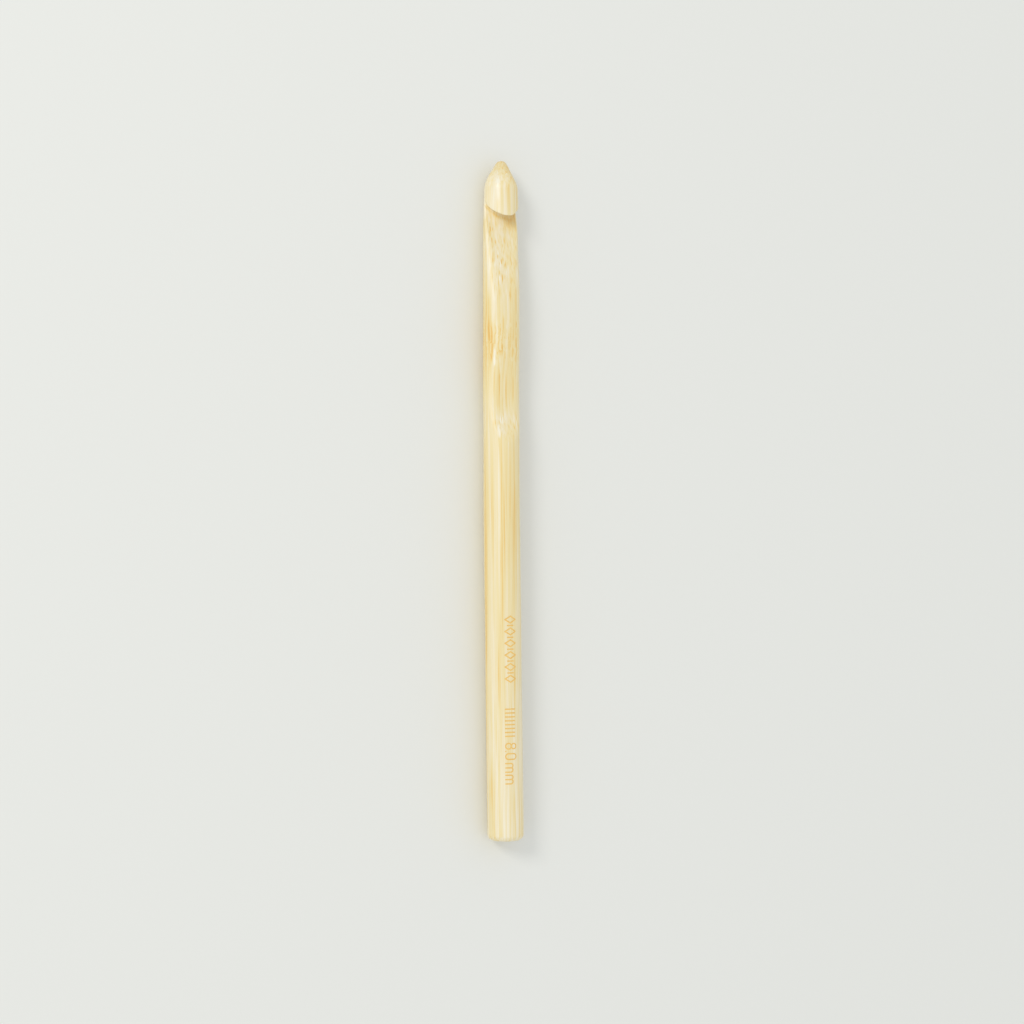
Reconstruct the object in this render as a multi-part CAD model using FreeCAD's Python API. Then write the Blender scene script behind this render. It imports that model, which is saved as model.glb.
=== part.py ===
import FreeCAD, Part
import math
import os

# One-piece bamboo crochet hook with a generic size mark and ornament scorched into its handle.
# Frame: the stick lies along X with its tip towards +X, and the throat opens towards +Z.
# The origin is under the middle of the stick, on the surface that it lies on. Millimetres.
# A station s is a distance from the tip towards the butt; a height h is measured from the stick's axis.

# Stick
LENGTH = 150.0
SHANK_D = 8.0
BUTT_ROUND = 1.4

# Head: a rounded tip, a fuller cone and a slightly slimmer neck than the shank
TIP_ROUND = 1.4
TIP_HALF_ANGLE = 31.0
NOSE_END_S = 6.6
HEAD_D = 7.48
HEAD_TAPER = 0.03
NOSE_PULL_TIP = 2.6
NOSE_PULL_HEAD = 2.2
SHANK_START_S = 16.5

# Throat: a slanted lip face, a small round root and a straight ramp up from it
LIP_S = 12.6
LIP_H = 3.87
LIP_SLANT = 36.8
ROOT_ROUND = 0.5
RAMP_S = 10.0
RAMP_H = -0.45
RAMP_SLOPE = 0.17

# The floor after the ramp, as stations and heights that one smooth curve runs through
RAMP_MID_S = 18.0
RAMP_END_S = 26.5
SADDLE_START = (30.5, 2.87)
SADDLE = (35.0, 3.0)
THUMB_REST_START = (44.0, 2.6)
THUMB_REST = (51.5, 2.12)
THUMB_REST_END = (57.0, 2.55)
RUNOUT = (61.8, 4.0)
CLEAR_OF_STICK = (64.0, 5.15)

# All the carved edges are sanded round
EDGE_ROUND = 0.6

# Scorched marks: thin dark inlays at the bottom of shallow grooves
STROKE_W = 0.3
GROOVE_DEPTH = 0.24
MARK_SINK = 0.04
MARK_SIDE = 0.295
CAP_H = 2.7
ORNAMENT_S = 100.4
LOZENGE_COUNT = 6
LOZENGE_PITCH = 2.6
LOZENGE_W = 1.5
LOZENGE_H = 2.4
SPACER_H = 1.3
SIZE_MARK_S = 120.8
TICK_COUNT = 8
TICK_PITCH = 0.85
TICK_H = 2.1
TICKS_TO_DIGITS = 1.4
DIGIT_W = 1.55
LETTER_GAP = 0.36
WORD_GAP = 0.6
X_HEIGHT = 1.75
ARCH_W = 0.95
POINT_LENGTH = 0.02

# Worked out from the values above
R = SHANK_D / 2.0
AXIS_Z = R
OVERRUN = 3.0
PRISM_H = R + OVERRUN


def place(s, h):
    """A point in the stick's mid-plane at station s and height h over the axis."""
    return FreeCAD.Vector(LENGTH / 2.0 - s, 0.0, AXIS_Z + h)


def bezier(poles):
    """One Bezier edge through the mid-plane, its poles given as (station, height)."""
    curve = Part.BezierCurve()
    curve.setPoles([place(s, h) for s, h in poles])
    return curve.toShape()


def smooth(points):
    """One smooth edge that runs through all of these points, given as (station, height)."""
    curve = Part.BSplineCurve()
    curve.interpolate([place(s, h) for s, h in points])
    return curve.toShape()


def line(start, end):
    return Part.makeLine(place(*start), place(*end))


def arc(start, middle, end):
    return Part.Arc(place(*start), place(*middle), place(*end)).toShape()


def around(centre, radius, degrees):
    """The point at this angle round a centre, both as (station, height)."""
    angle = math.radians(degrees)
    return (centre[0] + radius * math.cos(angle), centre[1] + radius * math.sin(angle))


def along(start, slope, run):
    """The point this far along the stick from start, on a line of this slope."""
    return (start[0] + run, start[1] + slope * run)


def make_stick():
    """The turned blank: tip, nose, neck, shank and rounded butt."""
    tip_centre = (TIP_ROUND, 0.0)
    tip_mid = around(tip_centre, TIP_ROUND, 180.0 - (90.0 - TIP_HALF_ANGLE) / 2.0)
    tip_end = around(tip_centre, TIP_ROUND, 90.0 + TIP_HALF_ANGLE)
    nose_end = (NOSE_END_S, HEAD_D / 2.0)
    nose_pole = along(tip_end, math.tan(math.radians(TIP_HALF_ANGLE)),
                      NOSE_PULL_TIP * math.cos(math.radians(TIP_HALF_ANGLE)))
    head_pole = along(nose_end, HEAD_TAPER, -NOSE_PULL_HEAD)
    shank_start = (SHANK_START_S, R)
    corner_start = (LENGTH - BUTT_ROUND, R)
    corner_centre = (LENGTH - BUTT_ROUND, R - BUTT_ROUND)
    corner_mid = around(corner_centre, BUTT_ROUND, 45.0)
    corner_end = (LENGTH, R - BUTT_ROUND)
    outline = Part.Wire([
        arc((0.0, 0.0), tip_mid, tip_end),
        bezier([tip_end, nose_pole, head_pole, nose_end]),
        line(nose_end, shank_start),
        line(shank_start, corner_start),
        arc(corner_start, corner_mid, corner_end),
        line(corner_end, (LENGTH, 0.0)),
        line((LENGTH, 0.0), (0.0, 0.0)),
    ])
    return Part.Face(outline).revolve(place(0.0, 0.0), FreeCAD.Vector(1, 0, 0), 360.0)


def throat_corner():
    """Where the lip face and the ramp would meet if the root were sharp."""
    lip_run = math.tan(math.radians(LIP_SLANT))
    # Lip face: s = LIP_S - lip_run * (LIP_H - h). Ramp: h = RAMP_H + RAMP_SLOPE * (s - RAMP_S).
    height = (RAMP_H + RAMP_SLOPE * (LIP_S - lip_run * LIP_H - RAMP_S)) / (1.0 - RAMP_SLOPE * lip_run)
    return (LIP_S - lip_run * (LIP_H - height), height)


def make_throat_cutter():
    """Everything that is carved away: under the lip, over the ramp and saddle, and in the thumb rest."""
    corner = throat_corner()
    lip_angle = 90.0 - LIP_SLANT
    ramp_angle = math.degrees(math.atan(RAMP_SLOPE))
    half = math.radians(lip_angle - ramp_angle) / 2.0
    reach = ROOT_ROUND / math.tan(half)
    bisector = (lip_angle + ramp_angle) / 2.0
    root_centre = around(corner, ROOT_ROUND / math.sin(half), bisector)
    root_lip = around(corner, reach, lip_angle)
    root_ramp = around(corner, reach, ramp_angle)
    root_mid = around(root_centre, ROOT_ROUND, bisector + 180.0)
    ramp = (RAMP_S, RAMP_H)
    ramp_mid = along(ramp, RAMP_SLOPE, RAMP_MID_S - RAMP_S)
    ramp_end = along(ramp, RAMP_SLOPE, RAMP_END_S - RAMP_S)
    floor = smooth([root_ramp, ramp_mid, ramp_end, SADDLE_START, SADDLE, THUMB_REST_START, THUMB_REST,
                    THUMB_REST_END, RUNOUT, CLEAR_OF_STICK])
    lip_top = around((LIP_S, LIP_H), OVERRUN, lip_angle)
    outline = Part.Wire([
        line(lip_top, root_lip),
        arc(root_lip, root_mid, root_ramp),
        floor,
        line(CLEAR_OF_STICK, (CLEAR_OF_STICK[0], lip_top[1])),
        line((CLEAR_OF_STICK[0], lip_top[1]), lip_top),
    ])
    profile = Part.Face(outline)
    profile.translate(FreeCAD.Vector(0.0, -R - OVERRUN, 0.0))
    return profile.extrude(FreeCAD.Vector(0.0, 2.0 * (R + OVERRUN), 0.0))


def ease_throat_edges(solid):
    """Round the lip's rim and both long edges of the throat, which lie to the sides of the mid-plane."""
    edges = []
    for edge in solid.Edges:
        middle = edge.valueAt((edge.FirstParameter + edge.LastParameter) / 2.0)
        station = LENGTH / 2.0 - middle.x
        if NOSE_END_S < station < RUNOUT[0] and abs(middle.y) > EDGE_ROUND:
            edges.append(edge)
    return solid.makeFillet(EDGE_ROUND, edges)


def bar(start, end):
    """A straight stroke with round ends, between two points on the mark's own plane."""
    dx = end[0] - start[0]
    dy = end[1] - start[1]
    run = math.hypot(dx, dy)
    up = FreeCAD.Vector(0, 0, 1)
    body = Part.makeBox(run, STROKE_W, PRISM_H, FreeCAD.Vector(0.0, -STROKE_W / 2.0, 0.0))
    body.rotate(FreeCAD.Vector(0, 0, 0), up, math.degrees(math.atan2(dy, dx)))
    body.translate(FreeCAD.Vector(start[0], start[1], 0.0))
    caps = [Part.makeCylinder(STROKE_W / 2.0, PRISM_H, FreeCAD.Vector(p[0], p[1], 0.0)) for p in (start, end)]
    return body.multiFuse(caps)


def ring(centre, radius):
    """A round stroke, a full turn about its centre."""
    base = FreeCAD.Vector(centre[0], centre[1], 0.0)
    outer = Part.makeCylinder(radius + STROKE_W / 2.0, PRISM_H, base)
    return outer.cut(Part.makeCylinder(radius - STROKE_W / 2.0, PRISM_H, base))


def half_ring(centre, radius, upper):
    """The upper or lower half of a round stroke."""
    side = 2.0 * radius + STROKE_W
    low = centre[1] if upper else centre[1] - side
    keep = Part.makeBox(2.0 * side, side, PRISM_H, FreeCAD.Vector(centre[0] - side, low, 0.0))
    return ring(centre, radius).common(keep)


def join(strokes):
    """Strokes that touch become one solid."""
    return strokes[0].multiFuse(strokes[1:]).removeSplitter()


def lozenge(left):
    middle = left + LOZENGE_W / 2.0
    top = (middle, LOZENGE_H / 2.0)
    right = (left + LOZENGE_W, 0.0)
    bottom = (middle, -LOZENGE_H / 2.0)
    corners = [(left, 0.0), top, right, bottom]
    return join([bar(corners[i], corners[(i + 1) % 4]) for i in range(4)])


def digit_eight(left):
    """Two rings, the lower one larger, that share a stroke at the waist."""
    middle = left + DIGIT_W / 2.0
    lower = (DIGIT_W - STROKE_W) / 2.0
    upper = (CAP_H - STROKE_W - 2.0 * lower) / 2.0
    foot = -CAP_H / 2.0 + STROKE_W / 2.0
    return join([ring((middle, foot + lower), lower), ring((middle, foot + 2.0 * lower + upper), upper)])


def digit_zero(left):
    """Two half turns joined by straight sides."""
    radius = (DIGIT_W - STROKE_W) / 2.0
    middle = left + DIGIT_W / 2.0
    reach = CAP_H / 2.0 - STROKE_W / 2.0 - radius
    sides = [bar((x, -reach), (x, reach)) for x in (middle - radius, middle + radius)]
    ends = [half_ring((middle, reach), radius, True), half_ring((middle, -reach), radius, False)]
    return join(ends + sides)


def letter_m(left):
    """Three legs under two arches."""
    foot = -CAP_H / 2.0 + STROKE_W / 2.0
    spring = foot + X_HEIGHT - ARCH_W / 2.0 - STROKE_W / 2.0
    first = left + STROKE_W / 2.0
    legs = [bar((first + i * ARCH_W, foot), (first + i * ARCH_W, spring)) for i in range(3)]
    arches = [half_ring((first + (i + 0.5) * ARCH_W, spring), ARCH_W / 2.0, True) for i in range(2)]
    return join(legs + arches)


def ornament_strokes():
    """A plain border of lozenges with short bars between them."""
    strokes = [lozenge(i * LOZENGE_PITCH) for i in range(LOZENGE_COUNT)]
    for i in range(LOZENGE_COUNT - 1):
        x = i * LOZENGE_PITCH + (LOZENGE_W + LOZENGE_PITCH) / 2.0
        strokes.append(bar((x, -SPACER_H / 2.0), (x, SPACER_H / 2.0)))
    return strokes


def size_strokes():
    """Eight ticks, then the shank's diameter in figures."""
    low = -CAP_H / 2.0 + STROKE_W / 2.0
    strokes = [bar((i * TICK_PITCH, low), (i * TICK_PITCH, low + TICK_H)) for i in range(TICK_COUNT)]
    x = (TICK_COUNT - 1) * TICK_PITCH + TICKS_TO_DIGITS
    strokes.append(digit_eight(x))
    x += DIGIT_W + LETTER_GAP
    strokes.append(bar((x, low), (x, low + POINT_LENGTH)))
    x += LETTER_GAP
    strokes.append(digit_zero(x))
    x += DIGIT_W + WORD_GAP
    for _ in range(2):
        strokes.append(letter_m(x))
        x += 2.0 * ARCH_W + STROKE_W + LETTER_GAP
    return strokes


def on_handle(strokes, station):
    """Turn strokes from the mark's plane to the handle, where they read from the head to the butt."""
    placed = []
    for stroke in strokes:
        copy = stroke.copy()
        copy.rotate(FreeCAD.Vector(0, 0, 0), FreeCAD.Vector(0, 0, 1), 180.0)
        copy.translate(FreeCAD.Vector(LENGTH / 2.0 - station, MARK_SIDE, AXIS_Z))
        placed.append(copy)
    return placed


def core(radius):
    """A cylinder on the stick's axis, longer than the stick."""
    base = FreeCAD.Vector(-LENGTH / 2.0 - OVERRUN, 0.0, AXIS_Z)
    return Part.makeCylinder(radius, LENGTH + 2.0 * OVERRUN, base, FreeCAD.Vector(1, 0, 0))


def make_marks():
    """The dark inlays by name, and the grooves that they lie in."""
    groove_floor = core(R - GROOVE_DEPTH)
    mark_top = core(R - MARK_SINK)
    marks = {}
    grooves = []
    for name, strokes, station in (("ornament_mark", ornament_strokes(), ORNAMENT_S),
                                   ("size_mark", size_strokes(), SIZE_MARK_S)):
        cut = [stroke.cut(groove_floor) for stroke in on_handle(strokes, station)]
        marks[name] = Part.makeCompound([groove.common(mark_top) for groove in cut])
        grooves += cut
    return marks, grooves


def make_hook_body(grooves):
    """The carved stick, its throat edges eased and the marks' grooves cut in."""
    body = ease_throat_edges(make_stick().cut(make_throat_cutter()))
    for groove in grooves:
        body = body.cut(groove)
    return body


def main():
    os.makedirs("parts", exist_ok=True)
    marks, grooves = make_marks()
    nodes = {"hook_body": make_hook_body(grooves)}
    nodes.update(marks)
    for name, shape in nodes.items():
        shape.exportStep(os.path.join("parts", name + ".step"))
        box = shape.optimalBoundingBox(True, False)
        print(name, "valid", shape.isValid(), "solids", len(shape.Solids), "volume", round(shape.Volume, 2),
              "box", [round(v, 2) for v in (box.XMin, box.XMax, box.YMin, box.YMax, box.ZMin, box.ZMax)])


main()
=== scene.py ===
import bmesh
import bpy
import math
import numpy as np
from mathutils import Matrix, Vector


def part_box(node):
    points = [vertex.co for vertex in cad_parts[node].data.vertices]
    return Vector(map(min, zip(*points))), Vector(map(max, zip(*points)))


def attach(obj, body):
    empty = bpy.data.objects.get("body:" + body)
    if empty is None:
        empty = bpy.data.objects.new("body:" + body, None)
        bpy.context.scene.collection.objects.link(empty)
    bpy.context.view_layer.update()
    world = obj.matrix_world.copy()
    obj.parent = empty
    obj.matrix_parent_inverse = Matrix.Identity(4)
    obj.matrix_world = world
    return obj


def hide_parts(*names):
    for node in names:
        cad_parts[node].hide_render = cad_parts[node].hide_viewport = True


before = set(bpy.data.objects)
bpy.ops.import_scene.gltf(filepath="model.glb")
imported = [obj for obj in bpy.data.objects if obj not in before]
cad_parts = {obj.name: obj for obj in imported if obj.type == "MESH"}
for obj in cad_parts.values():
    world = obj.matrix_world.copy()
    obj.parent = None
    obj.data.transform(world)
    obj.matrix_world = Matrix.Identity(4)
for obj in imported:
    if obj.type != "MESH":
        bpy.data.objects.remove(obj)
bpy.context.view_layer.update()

# ---------------------------------------------------------------------------
# The stick's dimensions in millimetres. A station s is a distance from the tip
# and a height h is measured from the stick's axis, as in the CAD.
# ---------------------------------------------------------------------------
MM = 0.001
BODY_LO, BODY_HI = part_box("hook_body")
TIP_X = BODY_HI[0] / MM
LENGTH = (BODY_HI[0] - BODY_LO[0]) / MM
R = (BODY_HI[1] - BODY_LO[1]) / MM / 2.0
AXIS_Z = BODY_LO[2] / MM + R

# Turned blank
TIP_ROUND = 1.4
TIP_HALF_ANGLE = math.radians(31.0)
NOSE_END_S = 6.6
HEAD_R = 3.74
NOSE_PULL_TIP = 2.6
NOSE_PULL_HEAD = 2.2
HEAD_TAPER = 0.03
SHANK_START_S = 16.5
BUTT_ROUND = 1.4

# Throat: the lip face, the small round root, and the floor as stations and heights on one smooth curve
LIP_S = 12.6
LIP_H = 3.87
LIP_SLANT = math.radians(36.8)
ROOT_ROUND = 0.5
FLOOR = [(9.7, -0.50), (14.0, 0.23), (18.0, 0.91), (26.5, 2.355), (30.5, 2.87), (35.0, 3.0), (39.5, 2.9),
         (44.0, 2.6), (48.0, 2.24), (51.5, 2.12), (54.5, 2.25), (57.0, 2.55), (59.5, 3.15), (61.8, 4.0),
         (64.0, 5.15)]
FLOOR_CLAMP = 5.0
RUNOUT_S = 61.8
CROWN = 0.10
CROWN_FROM, CROWN_TO = 11.0, 16.0

# Makes a height over the floor roughly a distance from it
FLOOR_COS = 0.97

# Where the lip's rim is worn back: the side of the mid-plane, how far, and between which distances from it
LIP_WEAR = [(-1.0, 0.45, 0.6, 2.6), (1.0, 0.32, 3.55, 3.95)]

# Rounding of the carved edges: at the lip, what it gains along the ramp and what it loses at the run-out
EASE_AT_LIP = 0.32
EASE_GAIN, GAIN_FROM, GAIN_TO = 0.70, 14.0, 22.0
EASE_LOSS, LOSS_FROM, LOSS_TO = 0.55, 54.0, 60.5

# What the hand and the cane leave: a sideways bow, a small flat on the nose, and low waves that fade out
# at the ends
BOW = 0.43
BOW_POWER = 1.3
NOSE_FLAT = 0.24
NOSE_FLAT_ANGLE = math.radians(-63.0)
NOSE_FLAT_S = 3.4
NOSE_FLAT_REACH = 1.7
WAVES_FROM, WAVES_FULL = 0.5, 4.0
WAVE_SIZES = (0.6, 1.4)

# Scorched marks: the stations between which they lie, and over which height. An inlay's top lies within
# INLAY_TOP of the surface, and rises by CUTTER_RISE where it serves as a cutter.
MARK_NODES = ["ornament_mark", "size_mark"]
MARKS_FROM = 97.0
MARKS_TO = 140.5
MARKS_LOWEST = 1.0
INLAY_TOP = 0.12
CUTTER_RISE = 0.6
WELD = 1e-6

# Mesh and surface sampling
TIP_POINTS = 40
NOSE_POINTS = 60
COLUMNS = 200
RAY_REACH = 9.5
RAY_STEPS = 45
RAY_HALVINGS = 22
NORMAL_STEP = 0.03
OUTER_COS = 0.9
SHARP_ANGLE = math.radians(38.0)
SEED = 7


# ---------------------------------------------------------------------------
# Shape of the stick as one smooth solid
# ---------------------------------------------------------------------------
def smoothstep(x, a, b):
    t = np.clip((x - a) / (b - a), 0.0, 1.0)
    return t * t * (3.0 - 2.0 * t)


def bezier(poles, count):
    t = np.linspace(0.0, 1.0, count)[:, None]
    p = np.array(poles, dtype=float)
    return (1 - t) ** 3 * p[0] + 3 * t * (1 - t) ** 2 * p[1] + 3 * t * t * (1 - t) * p[2] + t ** 3 * p[3]


def stick_profile():
    """Station and radius of the turned blank, from the tip to where the butt's rounding starts."""
    polar = np.linspace(math.pi, math.pi / 2 + TIP_HALF_ANGLE, TIP_POINTS)
    tip = np.stack([TIP_ROUND + TIP_ROUND * np.cos(polar), TIP_ROUND * np.sin(polar)], axis=1)
    start = tip[-1]
    nose = bezier([start,
                   start + NOSE_PULL_TIP * np.array([math.cos(TIP_HALF_ANGLE), math.sin(TIP_HALF_ANGLE)]),
                   (NOSE_END_S - NOSE_PULL_HEAD, HEAD_R - HEAD_TAPER * NOSE_PULL_HEAD),
                   (NOSE_END_S, HEAD_R)], NOSE_POINTS)
    neck = [(SHANK_START_S, R), (LENGTH - BUTT_ROUND, R)]
    return np.concatenate([tip, nose[1:], neck])


def spline(points):
    """A natural cubic spline through the points, as a function of the station."""
    xs = np.array([p[0] for p in points])
    ys = np.array([p[1] for p in points])
    n = len(xs)
    gap = np.diff(xs)
    slope = np.diff(ys) / gap
    system = np.eye(n)
    right = np.zeros(n)
    for i in range(1, n - 1):
        system[i, i - 1:i + 2] = gap[i - 1], 2.0 * (gap[i - 1] + gap[i]), gap[i]
        right[i] = 6.0 * (slope[i] - slope[i - 1])
    bend = np.linalg.solve(system, right)

    def evaluate(x):
        x = np.clip(x, xs[0] - FLOOR_CLAMP, xs[-1] + FLOOR_CLAMP)
        i = np.clip(np.searchsorted(xs, x) - 1, 0, n - 2)
        left, rest = x - xs[i], xs[i + 1] - x
        inside = (bend[i] * rest ** 3 + bend[i + 1] * left ** 3) / (6.0 * gap[i])
        return (inside + (ys[i] / gap[i] - bend[i] * gap[i] / 6.0) * rest
                + (ys[i + 1] / gap[i] - bend[i + 1] * gap[i] / 6.0) * left)
    return evaluate


PROFILE = stick_profile()
TIP_END_S = PROFILE[TIP_POINTS - 1, 0]
floor_height = spline(FLOOR)


def stick_radius(s):
    inside_tip = np.sqrt(np.clip(TIP_ROUND ** 2 - (TIP_ROUND - s) ** 2, 0.0, None))
    return np.where(s < TIP_END_S, inside_tip, np.interp(s, PROFILE[:, 0], PROFILE[:, 1]))


def round_max(a, b, radius):
    inner = np.minimum(-radius, np.maximum(a, b))
    return inner + np.hypot(np.maximum(radius + a, 0.0), np.maximum(radius + b, 0.0))


def round_min(a, b, radius):
    return -round_max(-a, -b, radius)


def waves(rng, count, turns, lengths, size):
    """Random low waves round the stick, as (turns, wave number along, phase, size)."""
    return [(rng.integers(turns[0], turns[1] + 1), 2 * math.pi / rng.uniform(*lengths) * rng.choice([-1, 1]),
             rng.uniform(0, 2 * math.pi), size * rng.uniform(*WAVE_SIZES)) for _ in range(count)]


def flat_waves(rng, count, across, lengths, size):
    """Random low waves over a cut face, as (wave number across, wave number along, phase, size)."""
    return [(rng.uniform(*across), 2 * math.pi / rng.uniform(*lengths), rng.uniform(0, 2 * math.pi), size)
            for _ in range(count)]


RNG = np.random.default_rng(SEED)
HAND_FINISH = waves(RNG, count=14, turns=(1, 5), lengths=(14.0, 60.0), size=0.0065)
FIBRE_RIDGES = waves(RNG, count=36, turns=(18, 70), lengths=(18.0, 90.0), size=0.0011)
CUT_WAVES = flat_waves(RNG, count=12, across=(0.5, 2.4), lengths=(3.0, 14.0), size=0.006)


def surface_waves(s, y, h):
    """How far the turned surface stands proud of the blank's radius."""
    angle = np.arctan2(y, h)
    total = np.zeros_like(s)
    for turns, number, phase, size in HAND_FINISH + FIBRE_RIDGES:
        total += size * np.sin(turns * angle + number * s + phase)
    tip_fade = smoothstep(s, WAVES_FROM, WAVES_FULL)
    butt_fade = 1.0 - smoothstep(s, LENGTH - WAVES_FULL, LENGTH - BUTT_ROUND)
    flat_along = np.exp(-((s - NOSE_FLAT_S) / NOSE_FLAT_REACH) ** 2)
    flat_round = np.maximum(np.cos(angle - NOSE_FLAT_ANGLE), 0.0) ** 2
    return total * (tip_fade * butt_fade) - NOSE_FLAT * (flat_along * flat_round)


def cut_waves(s, y):
    """How far the throat's floor stands proud of its smooth curve."""
    total = np.zeros_like(s)
    for across, number, phase, size in CUT_WAVES:
        total += size * np.sin(across * y + number * s + phase)
    return total


def solid(s, y, h, waved=True):
    """Negative inside the stick: turned blank, less the throat and the thumb rest, with eased edges."""
    stick = np.hypot(y, h) - stick_radius(s)
    if waved:
        stick = stick - surface_waves(s, y, h)
    worn = sum(depth * smoothstep(side * y, first, last) for side, depth, first, last in LIP_WEAR)
    lip = ((s - LIP_S) + (LIP_H - h) * math.tan(LIP_SLANT) + worn) * math.cos(LIP_SLANT)
    crown = CROWN * smoothstep(s, CROWN_FROM, CROWN_TO) * (1.0 - (y / R) ** 2)
    floor = (h - floor_height(s) - crown) * FLOOR_COS
    if waved:
        floor = floor - cut_waves(s, y)
    cut = round_min(lip, floor, ROOT_ROUND)
    ease = EASE_AT_LIP + EASE_GAIN * smoothstep(s, GAIN_FROM, GAIN_TO)
    ease = ease - EASE_LOSS * smoothstep(s, LOSS_FROM, LOSS_TO)
    return round_max(stick, cut, ease)


# ---------------------------------------------------------------------------
# The stick's mesh: rows that follow the outline, each a ring of rays from inside
# ---------------------------------------------------------------------------
# The outline's corner in the root: where it leaves the lip face and where it meets the floor
ROOT_GAP = 0.55
ROOT_SHARE = 0.75
ROOT_DROP = 0.45
LOWEST_ROOT_H = -1.0
ROOT_STEPS = 400
FLOOR_MARGIN = 0.1
FLOOR_POINTS = 500
SPREAD_STEPS = 40001

# The rows' centres: near the tip none lies past its top point, and under the throat they lie low
TIP_ROWS_LENGTH = 2.2
CENTRE_DROP = 1.5
DROP_FROM, DROP_FULL = 1.5, 7.0
DROP_ENDS, DROP_GONE = 20.0, 62.0

# The columns: more of them where the section turns, blurred along each row and from row to row
DENSE_RAYS = 361
TURN_WEIGHT = 0.9
TURN_MOST = 0.5
HALF_GIRTH = 12.5
BLUR_REACH = 3
ROW_BLURS = 3
TINY = 1e-9

# The butt
RIM_POINTS = 12
FACE_POINTS = 9


def lip_root():
    """Where the outline leaves the lip face, a little above the floor."""
    for h in np.linspace(LIP_H, LOWEST_ROOT_H, ROOT_STEPS):
        s = LIP_S - (LIP_H - h) * math.tan(LIP_SLANT)
        if h <= floor_height(np.array(s)) + ROOT_GAP:
            return (s, h)


def outline():
    """The mid-plane outline over the top, from the tip to the butt's rounding, through the throat."""
    head = PROFILE[PROFILE[:, 0] <= NOSE_END_S]
    s_root = FLOOR[0][0]
    leave = lip_root()
    bend = (leave[0] * ROOT_SHARE + s_root * (1.0 - ROOT_SHARE), leave[1] - ROOT_DROP)
    floor_s = np.linspace(s_root + FLOOR_MARGIN, RUNOUT_S - FLOOR_MARGIN, FLOOR_POINTS)
    floor = np.stack([floor_s, floor_height(floor_s)], axis=1)
    shank = np.array([(RUNOUT_S, R), (LENGTH - BUTT_ROUND, R)])
    return np.concatenate([head, [(LIP_S, LIP_H), leave, bend], floor, shank])


def lengths_along(points):
    """How far along a polyline each of its points is."""
    return np.concatenate([[0.0], np.cumsum(np.hypot(*np.diff(points, axis=0).T))])


def nearest(points, place):
    return np.argmin(np.hypot(points[:, 0] - place[0], points[:, 1] - place[1]))


def between(values, pairs):
    """Linear interpolation through pairs."""
    return np.interp(values, [p[0] for p in pairs], [p[1] for p in pairs])


def spread(points, spacing):
    """Points along a polyline, as far apart as spacing says at each length along it."""
    length = lengths_along(points)
    fine = np.linspace(0.0, length[-1], SPREAD_STEPS)
    density = 1.0 / between(fine, spacing)
    measure = np.concatenate([[0.0], np.cumsum((density[1:] + density[:-1]) / 2 * np.diff(fine))])
    count = int(round(measure[-1]))
    at = np.interp(np.linspace(0.0, measure[-1], count + 1), measure, fine)
    return at, np.stack([np.interp(at, length, points[:, 0]), np.interp(at, length, points[:, 1])], axis=1)


def first_exit(centres, tops, psi, waved):
    """Where rays from each row's centre first leave the solid; psi is 0 at the top and pi at the bottom."""
    slant = (tops[:, 0] - centres[:, 0])
    rise = (tops[:, 1] - centres[:, 1])
    lean = (slant / rise)[:, None]
    up, side = np.cos(psi), np.sin(psi)
    along = lean * np.maximum(up, 0.0)
    norm = np.sqrt(along ** 2 + 1.0)
    along, up, side = along / norm, up / norm, side / norm
    cs, ch = centres[:, 0][:, None], centres[:, 1][:, None]

    def is_inside(reach):
        return solid(cs + along * reach, side * reach, ch + up * reach, waved) < 0.0

    low = np.zeros_like(psi)
    high = np.full_like(psi, RAY_REACH)
    out = np.zeros(psi.shape, dtype=bool)
    for reach in np.linspace(0.0, RAY_REACH, RAY_STEPS):
        inside = is_inside(reach)
        low = np.where(inside & ~out, reach, low)
        high = np.where(~inside & ~out, reach, high)
        out |= ~inside
    for _ in range(RAY_HALVINGS):
        middle = (low + high) / 2.0
        inside = is_inside(middle)
        low = np.where(inside, middle, low)
        high = np.where(inside, high, middle)
    reach = (low + high) / 2.0
    return cs + along * reach, side * reach, ch + up * reach


def stick_rows():
    """Each row's centre and the outline point over it, closer together where the shape turns."""
    points = outline()
    length = lengths_along(points)
    rim_at = length[nearest(points, (LIP_S, LIP_H))]
    root_at = length[nearest(points, FLOOR[0])]
    beyond = length >= root_at

    def floor_at(s):
        return np.interp(s, points[beyond, 0], length[beyond])

    # Pairs of a length along the outline and the rows' spacing there, then the centres' station there
    spacing = [(0.0, 0.07), (2.0, 0.16), (7.0, 0.22), (rim_at - 1.0, 0.16), (rim_at - 0.4, 0.06),
               (rim_at + 0.5, 0.06), (rim_at + 1.2, 0.16), (root_at - 1.4, 0.10), (root_at + 0.4, 0.08),
               (root_at + 2.0, 0.22), (floor_at(20.0), 0.32), (floor_at(56.0), 0.32), (floor_at(59.0), 0.17),
               (floor_at(61.6), 0.10), (floor_at(62.6), 0.16), (floor_at(66.0), 0.6), (floor_at(75.0), 1.1),
               (floor_at(140.0), 1.1), (length[-1], 0.35)]
    centre_stations = [(0.0, 0.0), (TIP_ROWS_LENGTH, 1.15), (7.5, 5.4), (rim_at - 0.7, 6.7), (rim_at, 6.95),
                       (root_at - 0.6, 7.9), (floor_at(10.5), 8.9), (floor_at(14.0), 12.6),
                       (floor_at(20.0), 20.0), (length[-1], points[-1, 0])]
    at, tops = spread(points, spacing)
    at, tops = at[1:], tops[1:]
    centre_s = between(at, centre_stations)
    centre_s = np.where(at < TIP_ROWS_LENGTH, np.minimum(tops[:, 0], centre_s), centre_s)
    drop = -CENTRE_DROP * smoothstep(centre_s, DROP_FROM, DROP_FULL)
    centre_h = drop * (1.0 - smoothstep(centre_s, DROP_ENDS, DROP_GONE))
    return np.stack([centre_s, centre_h], axis=1), tops


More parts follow.
